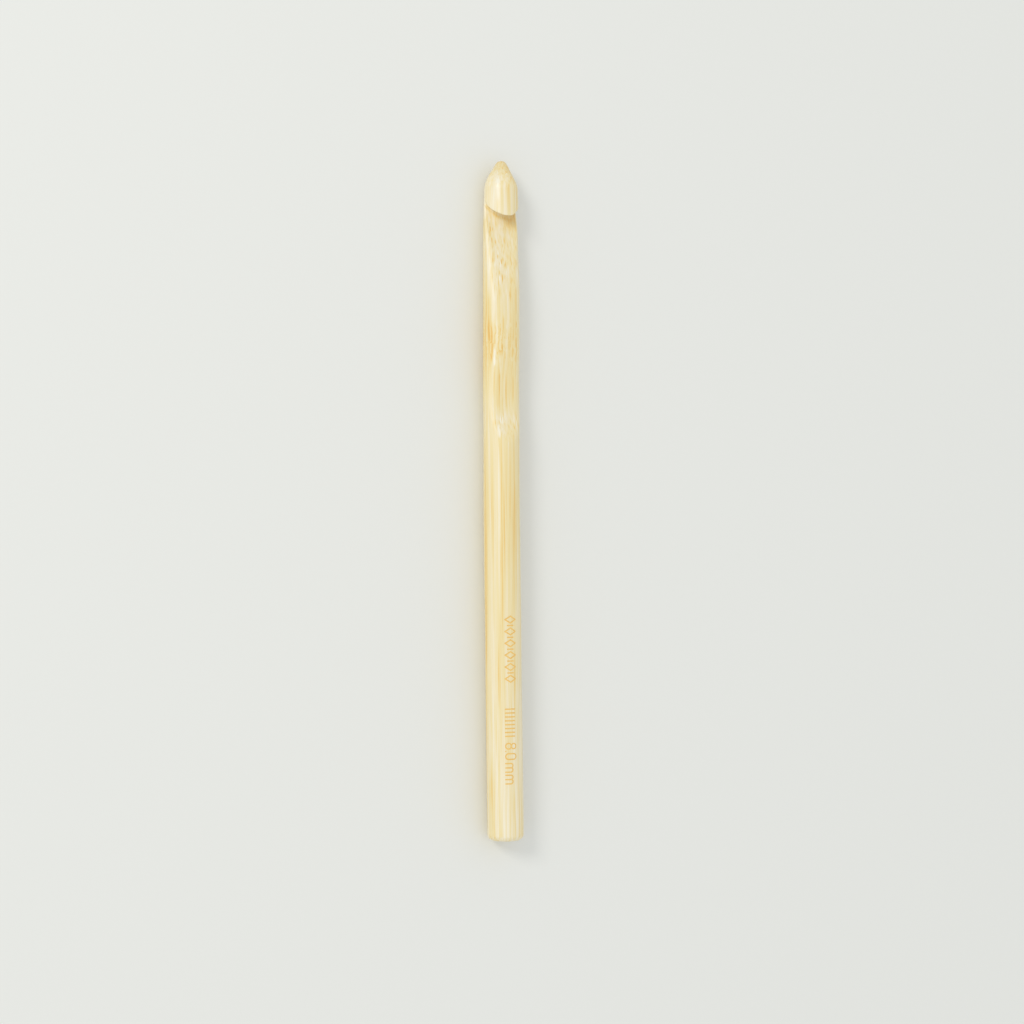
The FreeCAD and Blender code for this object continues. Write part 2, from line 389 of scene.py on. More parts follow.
def ring_angles(centres, tops):
    """Ray angles for each row, evenly spread by arc length and by how much the section turns."""
    half = COLUMNS // 2
    dense = np.linspace(0.0, math.pi, DENSE_RAYS)[None, :].repeat(len(centres), axis=0)
    s, y, h = first_exit(centres, tops, dense, False)
    ds, dy, dh = np.diff(s, axis=1), np.diff(y, axis=1), np.diff(h, axis=1)
    step = np.sqrt(ds ** 2 + dy ** 2 + dh ** 2) + TINY
    tangent = np.stack([ds, dy, dh], axis=2) / step[:, :, None]
    turn = np.arccos(np.clip(np.sum(tangent[:, 1:] * tangent[:, :-1], axis=2), -1.0, 1.0))
    turn = np.concatenate([turn[:, :1], turn], axis=1)
    weight = step + TURN_WEIGHT * np.minimum(turn, TURN_MOST) * (step.sum(axis=1, keepdims=True) / HALF_GIRTH)
    kernel = np.ones(2 * BLUR_REACH + 1) / (2 * BLUR_REACH + 1)
    padded = np.pad(weight, ((0, 0), (BLUR_REACH, BLUR_REACH)), mode="edge")
    weight = np.stack([np.convolve(row, kernel, mode="valid") for row in padded])
    measure = np.concatenate([np.zeros((len(centres), 1)), np.cumsum(weight, axis=1)], axis=1)
    measure /= measure[:, -1:]
    wanted = np.linspace(0.0, 1.0, half + 1)
    psi = np.stack([np.interp(wanted, row, dense[0]) for row in measure])
    for _ in range(ROW_BLURS):
        psi[1:-1] = (psi[:-2] + 2.0 * psi[1:-1] + psi[2:]) / 4.0
    return np.concatenate([psi, -psi[:, -2:0:-1]], axis=1)


def bow(s):
    """The stick's slight natural sideways bend."""
    shape = 1.0 - np.abs(2.0 * np.clip(s / LENGTH, 0.0, 1.0) - 1.0) ** BOW_POWER
    return BOW * (shape - 0.5)


def butt_rings(psi):
    """The rings of the rounded rim and of the flat end, as stations, sides and heights."""
    corner = np.linspace(0.0, math.pi / 2, RIM_POINTS)[1:]
    face = np.linspace(R - BUTT_ROUND, 0.0, FACE_POINTS)[1:-1]
    rim_start = LENGTH - BUTT_ROUND
    stations = np.concatenate([rim_start + BUTT_ROUND * np.sin(corner), np.full(len(face), LENGTH)])
    radii = np.concatenate([R - BUTT_ROUND + BUTT_ROUND * np.cos(corner), face])
    return (stations[:, None].repeat(COLUMNS, axis=1), radii[:, None] * np.sin(psi)[None, :],
            radii[:, None] * np.cos(psi)[None, :])


def stick_faces(rows):
    """Quads between the rings, and triangles to the tip's and the butt's middle points."""
    faces = []
    for i in range(rows - 1):
        a, b = i * COLUMNS, (i + 1) * COLUMNS
        faces += [(a + j, a + (j + 1) % COLUMNS, b + (j + 1) % COLUMNS, b + j) for j in range(COLUMNS)]
    tip, butt = rows * COLUMNS, rows * COLUMNS + 1
    end = (rows - 1) * COLUMNS
    faces += [(tip, (j + 1) % COLUMNS, j) for j in range(COLUMNS)]
    faces += [(butt, end + j, end + (j + 1) % COLUMNS) for j in range(COLUMNS)]
    return faces


def build_stick():
    """The stick as one closed mesh, still without its grooves."""
    centres, tops = stick_rows()
    psi = ring_angles(centres, tops)
    rings = first_exit(centres, tops, psi, True)
    s, y, h = (np.concatenate(pair) for pair in zip(rings, butt_rings(psi[-1])))
    y = y + bow(s)
    verts = np.stack([TIP_X - s, y, h + AXIS_Z], axis=2).reshape(-1, 3)
    poles = np.array([(TIP_X, bow(np.array(0.0)), AXIS_Z), (TIP_X - LENGTH, bow(np.array(LENGTH)), AXIS_Z)])
    verts = np.concatenate([verts, poles]) * MM
    mesh = bpy.data.meshes.new("bamboo_stick")
    mesh.from_pydata([tuple(v) for v in verts], [], stick_faces(len(s)))
    mesh.validate()
    stick = bpy.data.objects.new("bamboo_stick", mesh)
    bpy.context.collection.objects.link(stick)
    return stick


def groove_cutter(name):
    """A copy of a CAD inlay with its top raised clear of the stick's surface."""
    mesh = bpy.data.objects[name].data.copy()
    build = bmesh.new()
    build.from_mesh(mesh)
    bmesh.ops.remove_doubles(build, verts=build.verts, dist=WELD)
    for vert in build.verts:
        if math.hypot(vert.co.y, vert.co.z - AXIS_Z * MM) > (R - INLAY_TOP) * MM:
            vert.co.z += CUTTER_RISE * MM
    build.to_mesh(mesh)
    build.free()
    cutter = bpy.data.objects.new("cutter", mesh)
    bpy.context.collection.objects.link(cutter)
    return cutter


def split_large_faces(mesh):
    """Splits the cut's many-sided faces into well-shaped triangles, so that none folds over on export."""
    build = bmesh.new()
    build.from_mesh(mesh)
    large = [face for face in build.faces if len(face.verts) > 4]
    bmesh.ops.triangulate(build, faces=large, quad_method="BEAUTY", ngon_method="BEAUTY")
    build.to_mesh(mesh)
    build.free()


def cut_grooves(stick, names):
    """Cuts the grooves of the scorched marks into the stick."""
    for name in names:
        cutter = groove_cutter(name)
        cut = stick.modifiers.new("groove", "BOOLEAN")
        cut.operation = "DIFFERENCE"
        cut.solver = "EXACT"
        cut.object = cutter
        bpy.context.view_layer.update()
        graph = bpy.context.evaluated_depsgraph_get()
        carved = bpy.data.meshes.new_from_object(stick.evaluated_get(graph))
        stick.modifiers.clear()
        uncut, cutter_mesh = stick.data, cutter.data
        stick.data = carved
        bpy.data.meshes.remove(uncut)
        bpy.data.objects.remove(cutter)
        bpy.data.meshes.remove(cutter_mesh)
    stick.data.name = "bamboo_stick"
    split_large_faces(stick.data)


def read_all(items, name, width=1, kind=float):
    """One attribute of every item of a mesh, as an array."""
    values = np.empty(len(items) * width, dtype=kind)
    items.foreach_get(name, values)
    return values.reshape(-1, width) if width > 1 else values


def smooth_around_grooves(stick):
    """Takes the normals round the grooves from the solid, because the cut leaves thin faces there."""
    mesh = stick.data
    corner_vert = read_all(mesh.loops, "vertex_index", kind=int)
    at = read_all(mesh.vertices, "co", 3) / MM
    s, h = TIP_X - at[:, 0], at[:, 2] - AXIS_Z
    y = at[:, 1] - bow(s)
    d = NORMAL_STEP
    slope = np.stack([solid(s - d, y, h) - solid(s + d, y, h),
                      solid(s, y + d, h) - solid(s, y - d, h),
                      solid(s, y, h + d) - solid(s, y, h - d)], axis=1)
    slope /= np.linalg.norm(slope, axis=1, keepdims=True)
    sides = read_all(mesh.polygons, "loop_total", kind=int)
    face_normal = read_all(mesh.polygons, "normal", 3).repeat(sides, axis=0)
    normals = slope[corner_vert]
    outer = np.sum(normals * face_normal, axis=1) > OUTER_COS
    near = (s > MARKS_FROM) & (s < MARKS_TO) & (h > MARKS_LOWEST)
    normals[~(outer & near[corner_vert])] = 0.0
    mesh.normals_split_custom_set(normals.tolist())


# ---------------------------------------------------------------------------
# Material helpers
# ---------------------------------------------------------------------------
BUMP_DEPTH = 0.00002
BUMP_STRENGTH = 0.6


def srgb(red, green, blue):
    """A colour given in 8-bit sRGB, as the shader's linear values."""
    linear = [(c / 255 / 12.92) if c / 255 <= 0.04045 else ((c / 255 + 0.055) / 1.055) ** 2.4
              for c in (red, green, blue)]
    return (*linear, 1.0)


class Graph:
    """Short calls for building one material's nodes."""

    def __init__(self, name):
        self.material = bpy.data.materials.new(name)
        self.material.use_nodes = True
        self.tree = self.material.node_tree
        self.shader = self.tree.nodes["Principled BSDF"]

    def add(self, kind, inputs=(), **settings):
        node = self.tree.nodes.new(kind)
        for key, value in settings.items():
            setattr(node, key, value)
        for key, value in dict(inputs).items():
            self.put(node.inputs[key], value)
        return node

    def put(self, socket, value):
        if isinstance(value, bpy.types.NodeSocket):
            self.tree.links.new(value, socket)
        else:
            socket.default_value = value

    def math(self, operation, *values):
        return self.add("ShaderNodeMath", enumerate(values), operation=operation).outputs[0]

    def times(self, first, *others):
        for other in others:
            first = self.math("MULTIPLY", first, other)
        return first

    def plus(self, first, *others):
        for other in others:
            first = self.math("ADD", first, other)
        return first

    def minus(self, a, b):
        return self.math("SUBTRACT", a, b)

    def vector(self, x, y, z):
        return self.add("ShaderNodeCombineXYZ", {0: x, 1: y, 2: z}).outputs[0]

    def step(self, value, low, high, first=0.0, last=1.0):
        """first below low, last above high, smooth between."""
        return self.add("ShaderNodeMapRange", {"Value": value, "From Min": low, "From Max": high,
                                               "To Min": first, "To Max": last},
                        interpolation_type="SMOOTHSTEP").outputs[0]

    def bell(self, value, centre, width):
        """1 at the centre, falling smoothly to almost 0 at twice the width from it."""
        off = self.math("DIVIDE", self.minus(value, centre), width)
        return self.math("EXPONENT", self.times(off, off, -1.0))

    def noise(self, vector, detail=2.0, roughness=0.5):
        return self.add("ShaderNodeTexNoise", {"Vector": vector, "Scale": 1.0, "Detail": detail,
                                               "Roughness": roughness}).outputs[0]

    def flat_noise(self, x, y, along, across, level, detail=2.0, roughness=0.5):
        """A flat slice of the noise at this level, stretched along x and y."""
        return self.noise(self.vector(self.times(x, along), self.times(y, across), level), detail, roughness)

    def cells(self, vector):
        """Distance to the middle of the nearest cell, and that cell's random colour."""
        node = self.add("ShaderNodeTexVoronoi", {"Vector": vector, "Scale": 1.0, "Randomness": 1.0})
        return node.outputs["Distance"], node.outputs["Color"]

    def blend(self, amount, first, second, mode="MIX"):
        return self.add("ShaderNodeMix", {0: amount, 6: first, 7: second}, data_type="RGBA",
                        blend_type=mode).outputs[2]

    def millimetres(self):
        """Where a shaded point lies in the shared frame: x, y and z."""
        here = self.add("ShaderNodeTexCoord").outputs["Object"]
        split = self.add("ShaderNodeSeparateXYZ", {0: here})
        return [self.times(value, 1 / MM) for value in split.outputs]

    def dress(self, inputs):
        """Sets inputs of the surface shader."""
        for key, value in inputs.items():
            self.put(self.shader.inputs[key], value)

    def relief(self, height):
        """A faint bump."""
        bump = self.add("ShaderNodeBump", {"Height": height, "Distance": BUMP_DEPTH,
                                           "Strength": BUMP_STRENGTH})
        self.dress({"Normal": bump.outputs[0]})


# ---------------------------------------------------------------------------
# Bamboo: where a point lies on the stick. Ramps are (from, to) or (from, to, first value,
# last value), and bells are (centre, half-width), all in millimetres.
# ---------------------------------------------------------------------------
VIEW_ROLL = math.radians(27.0)
FRONT = (-1.0, 1.0)
CANE_NODE = (41.0, 5.5)
CARVED_DEPTH = (0.08, 0.35)
CARVED_START = (6.5, 8.5)
CARVED_END = (62.0, 64.0, 1.0, 0.0)
# How far past the lip's rim the painted shadow under the lip reaches
UNDER_LIP_SHADOW_REACH = (0.2, 3.4, 1.0, 0.0)
LIP_LINE = (0.10, 0.35)
LIP_LINE_FADE = (-1.0, 2.0, 1.0, 0.3)
HEAD_END = (12.0, 13.5, 1.0, 0.0)


class Place:
    """Where a shaded point lies on the stick, how far it belongs to each worked part, and how far the painted
    shadow under the lip reaches it.
    """

    def __init__(self, g):
        x, self.y, z = g.millimetres()
        self.s = g.minus(TIP_X, x)
        self.h = g.minus(z, AXIS_Z)
        sine, cosine = math.sin(VIEW_ROLL), math.cos(VIEW_ROLL)
        self.across = g.plus(g.times(self.y, -cosine), g.times(self.h, sine))
        self.depth = g.plus(g.times(self.y, sine), g.times(self.h, cosine))
        self.front = g.step(self.depth, *FRONT)
        self.near_node = g.bell(self.s, *CANE_NODE)
        self.carved = self.cut_away(g)
        past_rim = self.past_rim(g)
        # Painted shadow under the lip's rim, fading out past it
        self.painted_shade_under_lip = g.times(self.carved, g.step(past_rim, *UNDER_LIP_SHADOW_REACH))
        self.lip_line = g.times(self.carved, g.bell(past_rim, *LIP_LINE), g.step(self.across, *LIP_LINE_FADE))
        self.head = g.times(g.step(self.s, *HEAD_END), g.minus(1.0, self.carved))

    def cut_away(self, g):
        """1 where the point lies under the turned blank's surface."""
        rho = g.math("SQRT", g.plus(g.times(self.y, self.y), g.times(self.h, self.h)))
        neck_length = SHANK_START_S - NOSE_END_S
        along_neck = g.math("MINIMUM", g.math("MAXIMUM", g.minus(self.s, NOSE_END_S), 0.0), neck_length)
        turned = g.plus(g.times(along_neck, (R - HEAD_R) / neck_length), HEAD_R)
        depth = g.step(g.minus(turned, rho), *CARVED_DEPTH)
        return g.times(depth, g.step(self.s, *CARVED_START), g.step(self.s, *CARVED_END))

    def past_rim(self, g):
        """How far past the lip's rim the point lies, as seen by the camera."""
        limb = g.math("SQRT", g.math("MAXIMUM", g.minus(R * R, g.times(self.across, self.across)), 0.0))
        rim_h = g.plus(g.times(self.across, math.sin(VIEW_ROLL)), g.times(limb, math.cos(VIEW_ROLL)))
        return g.plus(g.minus(self.s, LIP_S), g.times(g.minus(LIP_H, rim_h), math.tan(LIP_SLANT)))


# ---------------------------------------------------------------------------
# Bamboo: the grain. Each layer's first two numbers say how much of the noise there is in a
# millimetre, along the stick and across it.
# ---------------------------------------------------------------------------
# Then how far the fibres are moved, in millimetres, and the noise's detail
DRIFT = (0.030, 0.10, 1.2, 2.0)
SWIRL = (0.28, 0.42, 2.2, 3.0)
DEEP_SHARE = 0.6

# Then the noise's roughness and where in it the layer starts
BROAD = (0.010, 0.50, 0.5, 0.0)
MEDIUM = (0.025, 1.70, 0.55, 9.0)
FINE = (0.060, 4.60, 0.6, 31.0)
SHEEN = (0.05, 3.0, 0.5, 70.0)

# Then where in the cells the layer starts, and the radii of a bundle's core and edge
DARK_BUNDLES = (0.024, 2.40, 3.0, 0.05, 0.46)
DASHES = (0.034, 2.75, 80.0, 0.05, 0.48)
PALE_BUNDLES = (0.030, 1.60, 50.0, 0.08, 0.42)
BUNDLE_STRENGTH = (0.25, 0.95)
PATCH_ALONG, PATCH_ACROSS = 0.10, 0.5
PATCHES = (0.18, 0.42)


class Grain:
    """Noise drawn out along the fibres, which wander a little and swirl where the cane's node was."""

    def __init__(self, g, place):
        self.g = g
        self.place = place
        drift = self.wander(*DRIFT)
        shift = g.plus(drift, g.times(self.wander(*SWIRL), place.near_node))
        self.u = g.plus(place.across, shift)
        self.w = g.plus(place.depth, g.times(shift, DEEP_SHARE))

    def wander(self, along, across, size, detail):
        g, place = self.g, self.place
        at = g.vector(g.times(place.s, along), g.times(place.y, across), g.times(place.h, across))
        return g.times(g.minus(g.noise(at, detail), 0.5), size)

    def stretched(self, along, thick, offset=0.0):
        """A place in the noise: far apart along the fibres and close together across them."""
        g = self.g
        start = g.plus(g.times(self.place.s, along), offset)
        return g.vector(start, g.times(self.u, thick), g.times(self.w, thick))

    def fibres(self, along, thick, rough, offset):
        """Fibres, from about -0.5 to 0.5."""
        return self.g.minus(self.g.noise(self.stretched(along, thick, offset), roughness=rough), 0.5)

    def bundles(self, along, thick, offset, core, edge):
        """Round bundles seen end on or along their length, each of its own strength."""
        near, random = self.g.cells(self.stretched(along, thick, offset))
        own = self.g.add("ShaderNodeSeparateColor", {0: random}).outputs[0]
        return self.g.times(self.g.step(near, core, edge, 1.0, 0.0), self.g.step(own, *BUNDLE_STRENGTH))

    def patches(self):
        """Where the dark bundles show."""
        return self.g.step(self.g.noise(self.stretched(PATCH_ALONG, PATCH_ACROSS)), *PATCHES)


# ---------------------------------------------------------------------------
# Bamboo: tones. 0 is the palest fibre and 1 a browned one.
# ---------------------------------------------------------------------------
TONES = [(0.00, srgb(247, 240, 218)), (0.30, srgb(243, 229, 194)), (0.55, srgb(240, 221, 166)),
         (0.78, srgb(238, 206, 134)), (1.00, srgb(235, 188, 104))]

# Single streaks on the face that carries the throat: place across the face, half-width, first and last
# station, and how much darker (or paler, if negative) they are. All in millimetres but the last.
STREAKS = [
    (-3.50, 0.36, 33.0, 52.0, 0.07), (-3.55, 0.28, 54.0, 150.0, 0.12),
    # Next line: the last streak, pale, at -0.75 from station 60 to 100, is a pale fibre line and partly a
    # painted highlight along the shank
    (-0.12, 0.16, 61.0, 106.0, 0.27), (0.42, 0.10, 66.0, 96.0, 0.16), (-0.75, 0.13, 60.0, 100.0, -0.26),
    (-2.10, 0.20, 64.0, 104.0, 0.10), (2.55, 0.12, 64.0, 99.0, 0.12), (3.03, 0.13, 73.0, 103.0, 0.17),
    (1.45, 0.30, 63.0, 92.0, 0.08), (-1.18, 0.19, 104.0, 149.0, 0.25), (-1.90, 0.25, 108.0, 149.0, -0.08),
    (0.55, 0.16, 126.0, 149.0, -0.16), (3.20, 0.16, 104.0, 147.0, 0.12),
    (-2.74, 0.16, 35.4, 40.0, 0.30), (-2.08, 0.15, 35.6, 39.2, 0.30), (0.57, 0.16, 34.5, 39.0, 0.36),
    (1.57, 0.16, 37.6, 42.0, 0.32), (0.13, 0.14, 39.4, 42.8, 0.34), (-2.16, 0.16, 39.0, 44.4, 0.56),
    # Next line: the first streak, strongly pale, is the node's pale swirl and partly a painted highlight on
    # the throat face's left edge
    (-1.55, 0.22, 41.6, 45.2, -0.72), (-0.95, 0.16, 36.0, 41.0, -0.24), (-0.30, 0.15, 43.0, 47.0, -0.30),
    (-0.50, 0.15, 46.5, 55.0, 0.36), (0.92, 0.14, 46.8, 54.6, 0.34), (2.50, 0.16, 47.5, 53.5, 0.20),
    # Next line: the last streak, pale, is a pale spot where the thumb rest runs out, partly a painted
    # highlight where the shank's highlight begins
    (-1.70, 0.14, 46.0, 52.0, 0.24), (-0.55, 0.30, 59.3, 61.2, -0.50),
    # Next line: pale streaks along the throat floor's left edge, partly pale fibres and partly a painted
    # highlight on the rounded edge
    (-3.05, 0.30, 16.0, 24.0, -0.26), (-2.60, 0.35, 23.0, 30.0, -0.26), (-1.45, 0.45, 28.0, 37.0, -0.28),
    (-3.60, 0.14, 12.5, 18.0, 0.34), (-2.90, 0.13, 12.0, 15.0, 0.30), (-2.35, 0.13, 14.5, 17.0, 0.30),
    (-3.25, 0.12, 19.5, 22.5, 0.26), (-1.90, 0.13, 17.0, 19.0, 0.28), (0.20, 0.13, 18.5, 20.5, 0.26),
    (-1.40, 0.16, 19.5, 22.5, 0.30), (-0.60, 0.17, 24.0, 28.0, 0.30), (0.85, 0.18, 17.0, 20.0, 0.24),
    # Next line: the second streak, pale, at -0.50 from station 3 to 9, is a painted highlight down the head
    (2.10, 0.15, 26.0, 31.0, 0.22), (-0.50, 0.42, 3.0, 9.0, -0.32), (-3.35, 0.22, 25.0, 37.0, 0.12),
    (-2.80, 0.16, 28.0, 38.0, 0.16), (-3.80, 0.12, 78.0, 150.0, 0.30),
]

# Streaks: noise in a millimetre, along and across, and its level; then how far and how strongly it acts
WAVER = (0.16, 0.7, 5.0)
UNEVEN = (0.35, 2.5, 11.0)
WAVER_SIZE = 0.22
WAVER_AT_NODE = 0.55
STREAK_LEAST = 0.45
STREAK_UNEVEN = 1.1
STREAK_END_POWER = 4.0

# Fibres: the middle tone, the paler butt half and each layer's share, which rises at the ends and at the node
MIDDLE_TONE = 0.47
BUTT_TONE = (95.0, 145.0, 0.0, -0.06)
BROAD_SHARE, MEDIUM_SHARE, FINE_SHARE = 0.50, 0.62, 0.50
NODE_GAIN = 0.7
BUTT_GAIN = (100.0, 135.0, 0.0, 0.60)
HEAD_GAIN = (11.0, 14.0, 0.25, 0.0)

# Bundles: where the stick is cut on the slant, and each kind's share there and elsewhere
RAMP_START = (9.0, 13.0)
RAMP_END = (24.0, 33.0, 1.0, 0.0)
RUNOUT = (58.0, 3.5)
FRONT_SLANT = 0.6
SLANT_FADE = (-0.4, 1.6, 1.12, 0.55)
DARK_SHARE, DARK_SLANTED = 0.26, 0.62
DASH_SHARE = (20.0, 26.0, 0.74, 0.55)
DASH_MIDDLE = 0.10
PALE_SHARE, PALE_SLANTED = 0.20, 0.34

# Worked parts: the amber left side, the cane's node, the end grain at the tip, the head, the painted shadow
# under the lip, the line of its rim, the right side of the root, where that painted shadow's browner tone
# runs on, and the floor of the thumb rest
AMBER, AMBER_SIDE, AMBER_TONE = (40.0, 11.0), (-2.4, 0.4, 1.0, 0.0), 0.09
NODE_BAND, NODE_TONE = (41.5, 6.0), 0.08
TIP_GRAIN, TIP_TONE = (0.0, 6.0, 1.0, 0.0), 0.20
HEAD_TONE = (-3.0, 3.0, -0.15, 0.04)
# Painted shadow under the lip: paler to the left, browner to the right
UNDER_LIP_SHADOW_TONE = (-1.4, 2.5, -0.14, 0.32)
LIP_LINE_TONE = 0.26
# The painted shadow's browner tone, running on along the root's right side
ROOT_SHADOW_END, ROOT_SHADOW_TONE = (13.0, 19.0, 1.0, 0.0), (0.0, 2.5, 0.0, 0.12)
REST, REST_TONE = (50.0, 9.0), 0.05


def fibre_tone(g, place, grain, fine):
    """Broad bands, medium streaks and fine fibres."""
    ends = g.plus(g.step(place.s, *BUTT_GAIN), g.step(place.s, *HEAD_GAIN))
    broad = g.times(grain.fibres(*BROAD), BROAD_SHARE)
    medium = g.times(grain.fibres(*MEDIUM), g.plus(MEDIUM_SHARE, ends, g.times(place.near_node, NODE_GAIN)))
    fine = g.times(fine, g.plus(FINE_SHARE, ends))
    return g.plus(MIDDLE_TONE, g.step(place.s, *BUTT_TONE), broad, medium, fine)


def bundle_tone(g, place, grain, dark):
    """Vascular bundles: long lines along the stick, short dashes where it is cut on the slant."""
    ramp = g.times(g.step(place.s, *RAMP_START), g.step(place.s, *RAMP_END))
    slant = g.math("MINIMUM", g.plus(ramp, g.bell(place.s, *RUNOUT)), 1.0)
    cut = g.math("MAXIMUM", place.carved, g.times(place.front, FRONT_SLANT))
    slanted = g.times(slant, cut, g.step(place.across, *SLANT_FADE))
    lines = g.times(dark, grain.patches(), g.plus(DARK_SHARE, g.times(slanted, DARK_SLANTED)))
    dashes = g.times(grain.bundles(*DASHES), g.step(place.s, *DASH_SHARE))
    dashes = g.times(slanted, g.minus(dashes, DASH_MIDDLE))
    pale = g.times(grain.bundles(*PALE_BUNDLES), g.plus(PALE_SHARE, g.times(slanted, PALE_SLANTED)))
    return g.minus(g.plus(lines, dashes), pale)


def region_tone(g, place):
    """What each worked part of the stick adds, and the browner tone of the painted shadow under the lip."""
    return g.plus(
        g.times(g.bell(place.s, *AMBER), g.step(place.across, *AMBER_SIDE), AMBER_TONE),
        g.times(g.bell(place.s, *NODE_BAND), NODE_TONE),
        g.times(g.step(place.s, *TIP_GRAIN), TIP_TONE),
        g.times(place.head, g.step(place.across, *HEAD_TONE)),
        # Painted shadow under the lip
        g.times(place.painted_shade_under_lip, g.step(place.across, *UNDER_LIP_SHADOW_TONE)),
        g.times(place.lip_line, LIP_LINE_TONE),
        # The painted shadow's browner tone on the root's right side
        g.times(place.carved, g.step(place.s, *ROOT_SHADOW_END), g.step(place.across, *ROOT_SHADOW_TONE)),
        g.times(place.carved, g.bell(place.s, *REST), REST_TONE))


def streak_tone(g, place):
    """Single streaks, which waver with the fibres and are uneven along their length."""
    waver = g.flat_noise(place.s, place.across, *WAVER)
    size = g.plus(WAVER_SIZE, g.times(place.near_node, WAVER_AT_NODE))
    wavered = g.plus(place.across, g.times(g.minus(waver, 0.5), size))
    streaks = []
    for centre, width, first, last, strength in STREAKS:
        off = g.times(g.minus(wavered, centre), 1.0 / width)
        run = g.times(g.minus(place.s, (first + last) / 2.0), 2.0 / (last - first))
        fall = g.plus(g.times(off, off), g.math("POWER", g.math("ABSOLUTE", run), STREAK_END_POWER))
        streaks.append(g.times(g.math("EXPONENT", g.times(fall, -1.0)), strength))
    uneven = g.flat_noise(place.s, place.across, *UNEVEN)
    return g.times(g.plus(*streaks), place.front, g.plus(STREAK_LEAST, g.times(uneven, STREAK_UNEVEN)))


def toned(g, tone):
    """The colour of a tone."""
    scale = g.add("ShaderNodeValToRGB", {0: tone})
    stops = scale.color_ramp.elements
    while len(stops) < len(TONES):
        stops.new(0.5)
    for stop, (position, colour) in zip(stops, TONES):
        stop.position, stop.color = position, colour
    return scale.outputs[0]


# ---------------------------------------------------------------------------
# Bamboo: painted shade and light, the tip's darker end grain, groove walls and finish
# ---------------------------------------------------------------------------
# Painted light to the left under the lip and painted shade to the right
UNDER_LIP_PAINTED_SHADE = (-1.2, 2.6, 0.075, -0.07)
# Painted shade that dims the head's highlight band, just left of the middle
HEAD_HIGHLIGHT_BAND, HEAD_HIGHLIGHT_PAINTED_SHADE = (-0.7, 1.0), -0.035
TIP_BAND, TIP_SHADE = (0.0, 5.5, 1.0, 0.0), -0.07
# Painted light: the thumb rest's floor a little lighter towards its left side
REST_LIGHT_BAND, REST_PAINTED_LIGHT = (43.0, 9.0), (-1.5, 2.5, 0.035, 0.0)

# Walls of the marks' grooves. STEEP is a ramp by the cosine between a wall and the surface round it.
MARKED_START = (99.0, 100.0)
MARKED_END = (138.5, 139.5, 1.0, 0.0)
STEEP = (0.6, 0.85, 1.0, 0.0)
MARKED_SIDE = (2.5, 3.0)
BURNT_WALL = srgb(244, 204, 124)

SATIN = 0.40
CARVED_ROUGHER = 0.14
HEAD_SMOOTHER = (10.0, 16.0, -0.05, 0.0)
SHEEN_SHARE = 0.16
BUNDLE_SINK = -0.35


def shaded(g, place, colour):
    """The colour made lighter or darker: painted light and shade under the lip, painted shade over the head's
    highlight, darker end grain at the tip, and painted light on the thumb rest's left side.
    """
    shade = g.plus(
        # Painted light and shade under the lip
        g.times(place.painted_shade_under_lip, g.step(place.across, *UNDER_LIP_PAINTED_SHADE)),
        # Painted shade over the head's highlight
        g.times(place.head, g.bell(place.across, *HEAD_HIGHLIGHT_BAND), HEAD_HIGHLIGHT_PAINTED_SHADE),
        g.times(g.step(place.s, *TIP_BAND), TIP_SHADE),
        # Painted light on the thumb rest's left side
        g.times(place.carved, g.bell(place.s, *REST_LIGHT_BAND), g.step(place.across, *REST_PAINTED_LIGHT)),
        1.0)
    grey = g.add("ShaderNodeCombineColor", {0: shade, 1: shade, 2: shade}).outputs[0]
    return g.blend(1.0, colour, grey, "MULTIPLY")


def groove_walls(g, place):
    """1 on the walls of the marks' grooves, which are steep and are browned by the scorching."""
    normal = g.add("ShaderNodeNewGeometry").outputs["True Normal"]
    outward = g.add("ShaderNodeVectorMath", {0: g.vector(0.0, place.y, place.h)}, operation="NORMALIZE")
    facing = g.add("ShaderNodeVectorMath", {0: normal, 1: outward.outputs["Vector"]}, operation="DOT_PRODUCT")
    marked = g.times(g.step(place.s, *MARKED_START), g.step(place.s, *MARKED_END))
    return g.times(g.step(facing.outputs["Value"], *STEEP), marked, g.step(place.h, *MARKED_SIDE))


def bamboo(name):
    """Fibres and bundles as tones, tones as colours, the worked parts' shades, and a satin finish."""
    g = Graph(name)
    place = Place(g)
    grain = Grain(g, place)
    fine = grain.fibres(*FINE)
    dark = grain.bundles(*DARK_BUNDLES)
    tone = g.plus(fibre_tone(g, place, grain, fine), bundle_tone(g, place, grain, dark),
                  region_tone(g, place), streak_tone(g, place))
    colour = shaded(g, place, toned(g, tone))
    roughness = g.plus(SATIN, g.times(place.carved, CARVED_ROUGHER), g.step(place.s, *HEAD_SMOOTHER),
                       g.times(grain.fibres(*SHEEN), SHEEN_SHARE))
    g.dress({"Base Color": g.blend(groove_walls(g, place), colour, BURNT_WALL), "Roughness": roughness,
             "Specular IOR Level": 0.5, "Coat Weight": 0.12, "Coat Roughness": 0.24})
    g.relief(g.plus(fine, g.times(dark, BUNDLE_SINK)))
    return g.material


# ---------------------------------------------------------------------------
# Scorched bamboo: the same wood, browned
# ---------------------------------------------------------------------------
# Noise in a millimetre, along and across, and its level; for the fibres also its detail and roughness
SCORCH_FIBRE = (1.2, 6.0, 0.0, 3.0, 0.6)
SCORCH_PATCH = (0.8, 0.8, 3.0)
DARKER_AMBER, PALER_AMBER, SINGED = srgb(240, 196, 112), srgb(245, 208, 132), srgb(233, 182, 96)
PALER_FIBRES = (0.3, 0.7)
SINGED_PATCHES = (0.4, 0.7, 0.0, 0.4)
SCORCH_ROUGHNESS = (0.2, 0.8, 0.65, 0.85)


